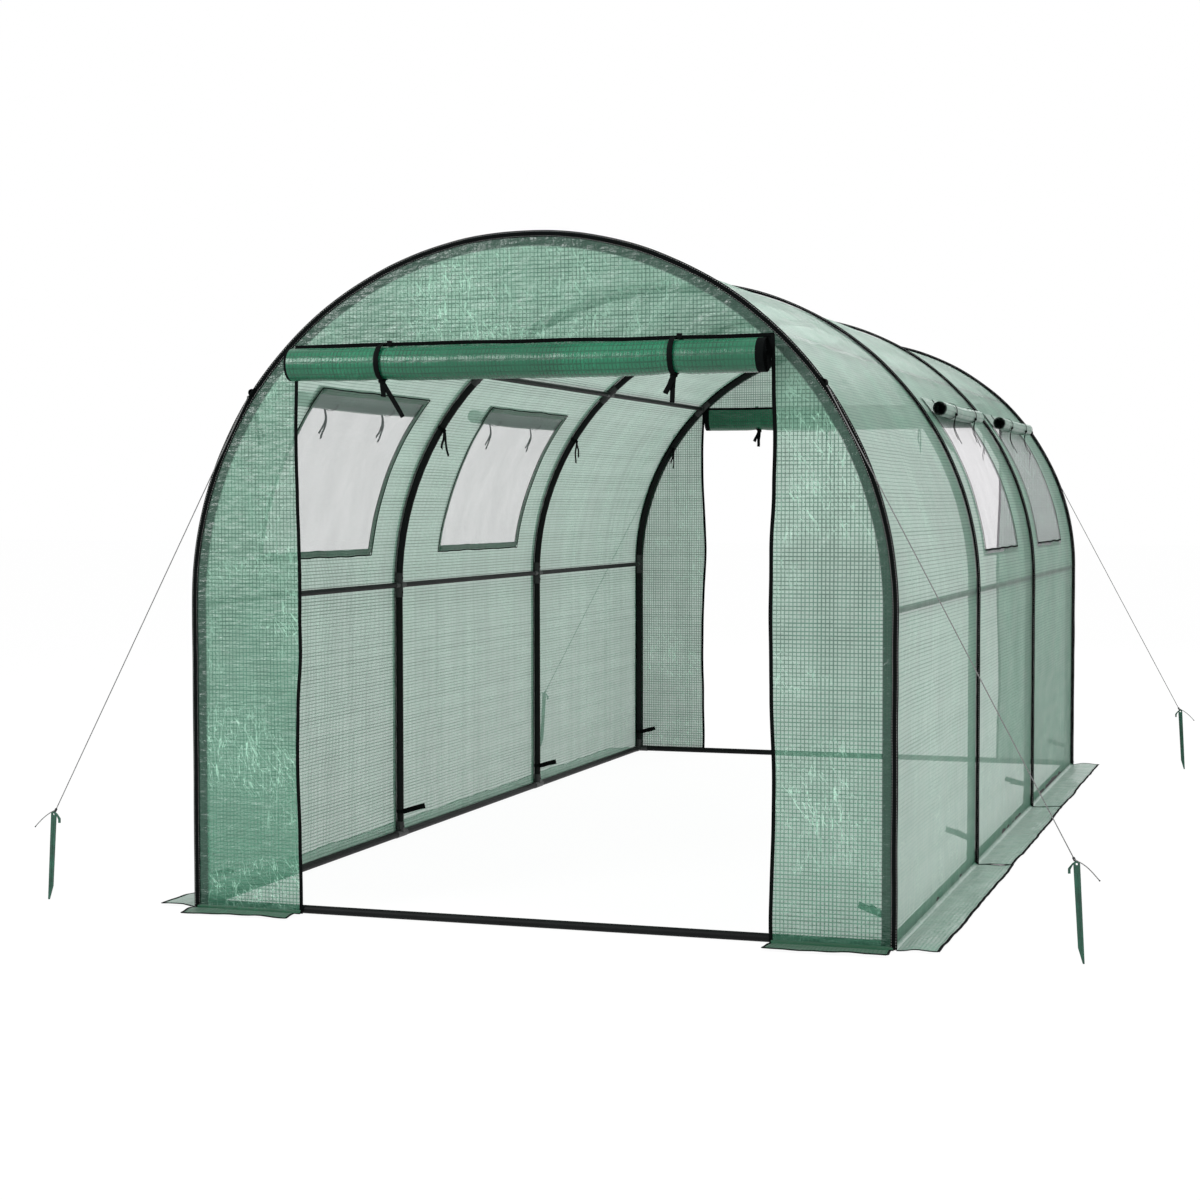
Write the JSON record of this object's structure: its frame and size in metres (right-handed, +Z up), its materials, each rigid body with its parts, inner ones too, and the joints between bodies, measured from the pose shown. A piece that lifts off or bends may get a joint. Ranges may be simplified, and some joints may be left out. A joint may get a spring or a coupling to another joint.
{
  "type": "walk-in polytunnel greenhouse",
  "caption": "Walk-in polytunnel: round tube hoops and rails under a woven green cover, with rolled up end doors, net windows, ground skirts and guy lines.",
  "frame": {"origin": "on the ground at the middle of the tunnel", "axes": "+X across the tunnel to the right as seen from the front doorway, +Y along the tunnel to the rear doorway, +Z up"},
  "size_m": [3.2416, 4.7358, 1.9982],
  "materials": {
    "frame_tube": "black powder coat",
    "fitting": "black moulded plastic",
    "cover_cloth": "translucent green woven polyethylene with a square grid",
    "door_cloth": "rolled green woven polyethylene, glossy",
    "window_net": "pale insect net",
    "binding": "black woven binding",
    "webbing": "black flat webbing",
    "guy_cord": "thin grey cord",
    "peg_plastic": "dark green plastic"
  },
  "bodies": {
    "root": {"hoop_1": "frame_tube", "hoop_2": "frame_tube", "hoop_3": "frame_tube", "hoop_4": "frame_tube", "base_rails_left": "frame_tube", "base_rails_right": "frame_tube", "base_rail_front": "frame_tube", "base_rail_rear": "frame_tube", "side_rails_left": "frame_tube", "side_rails_right": "frame_tube", "purlins_left": "frame_tube", "purlins_right": "frame_tube", "base_joints": "fitting", "side_joints": "fitting", "purlin_joints": "fitting", "wall_cover_left_1": "cover_cloth", "wall_cover_right_1": "cover_cloth", "roof_cover_1": "cover_cloth", "wall_cover_left_2": "cover_cloth", "wall_cover_right_2": "cover_cloth", "roof_cover_2": "cover_cloth", "wall_cover_left_3": "cover_cloth", "wall_cover_right_3": "cover_cloth", "roof_cover_3": "cover_cloth", "gable_front": "cover_cloth", "gable_rear": "cover_cloth", "end_panel_front_left": "cover_cloth", "end_panel_front_right": "cover_cloth", "end_panel_rear_left": "cover_cloth", "end_panel_rear_right": "cover_cloth", "door_roll_front": "door_cloth", "door_roll_rear": "door_cloth", "door_ties": "webbing", "window_nets_left": "window_net", "window_nets_right": "window_net", "window_rolls_left": "cover_cloth", "window_rolls_right": "cover_cloth", "window_ties": "webbing", "hoop_tape_1": "binding", "hoop_tape_2": "binding", "hoop_tape_3": "binding", "hoop_tape_4": "binding", "hoop_ties": "webbing", "skirt_left": "cover_cloth", "skirt_right": "cover_cloth", "flap_front": "cover_cloth", "flap_rear": "cover_cloth", "guy_tabs": "webbing", "guy_lines": "guy_cord", "pegs": "peg_plastic"}
  },
  "joints": []
}
